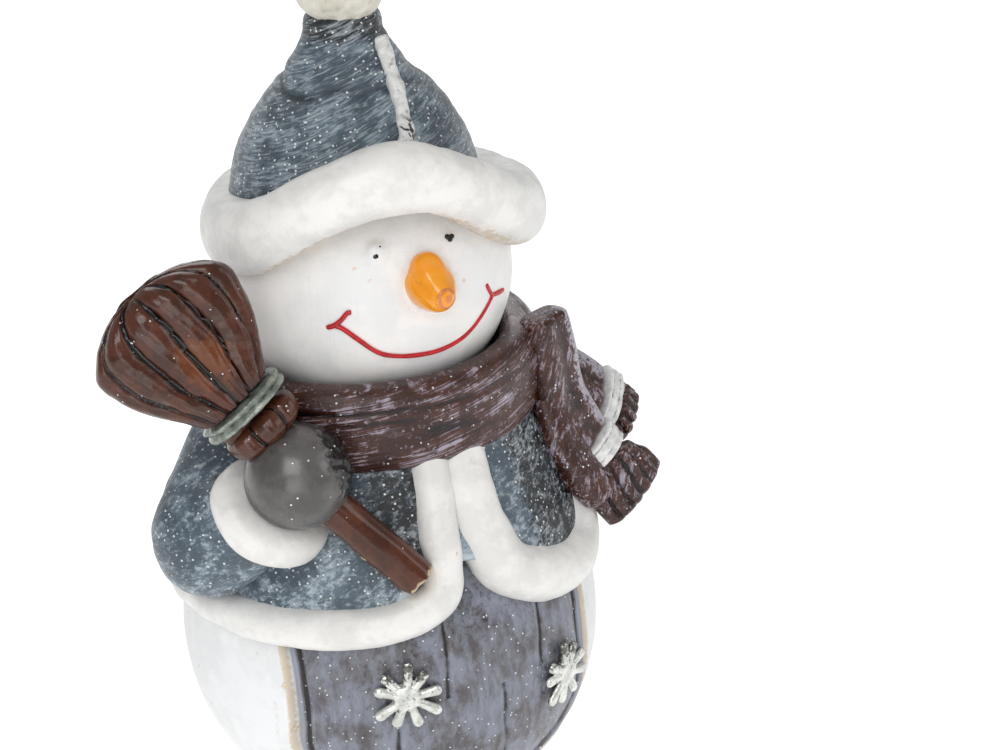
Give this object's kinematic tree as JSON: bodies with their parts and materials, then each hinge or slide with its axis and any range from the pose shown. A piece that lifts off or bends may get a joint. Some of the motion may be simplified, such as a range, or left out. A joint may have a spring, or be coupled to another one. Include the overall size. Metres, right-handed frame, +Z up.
{
  "type": "snowman figurine",
  "caption": "Cast resin snowman figurine with a rolled-brim hat, jacket, scarf and hand-held broom, standing on a felt-covered base.",
  "frame": {"origin": "centre of the felt's underside, on the surface the figurine stands on", "axes": "+Z up through the belly, head and hat; -Y is the figure's front; +X is the figure's left"},
  "size_m": [0.081, 0.0623, 0.1228],
  "materials": {
    "felt": "matt pressed felt",
    "belly_white": "satin white paint on cast polyresin",
    "face_white": "satin white paint on cast polyresin",
    "fur_white": "pearl white paint on stippled polyresin",
    "coat_grey": "blue-grey paint, dry-brushed silver-white, with glitter",
    "panel_grey": "grey-lilac paint, stained grooves, with glitter",
    "scarf_brown": "brown paint, dry-brushed lilac-silver",
    "broom_brown": "glossy chocolate brown lacquer",
    "tie_silver": "metallic grey-green paint",
    "tie_white": "white paint with glitter",
    "mitten_pewter": "glossy pewter paint",
    "charm_silver": "bright cast silver-coloured metal",
    "nose_orange": "glossy orange paint",
    "eye_black": "glossy black paint bead",
    "mouth_red": "glossy red paint"
  },
  "bodies": {
    "root": {"base_felt": "felt", "belly": "belly_white", "belly_panel": "panel_grey", "broom_collar": "broom_brown", "broom_fan": "broom_brown", "broom_handle": "broom_brown", "broom_tie": "tie_silver", "cuff_left": "fur_white", "cuff_right": "fur_white", "eyes": "eye_black", "hat": "coat_grey", "hat_brim": "fur_white", "hat_seam": "fur_white", "head": "face_white", "jacket": "coat_grey", "mitten_left": "mitten_pewter", "mitten_right": "mitten_pewter", "mouth": "mouth_red", "nose": "nose_orange", "pompom": "fur_white", "scarf": "scarf_brown", "scarf_tail_back": "scarf_brown", "scarf_tail_front": "scarf_brown", "sleeve_left": "coat_grey", "sleeve_right": "coat_grey", "snowflake_left": "charm_silver", "snowflake_right": "charm_silver", "tail_fringe_back": "scarf_brown", "tail_fringe_front": "scarf_brown", "tail_tie_back": "tie_white", "tail_tie_front": "tie_white", "trim_left": "fur_white", "trim_right": "fur_white"}
  },
  "joints": []
}
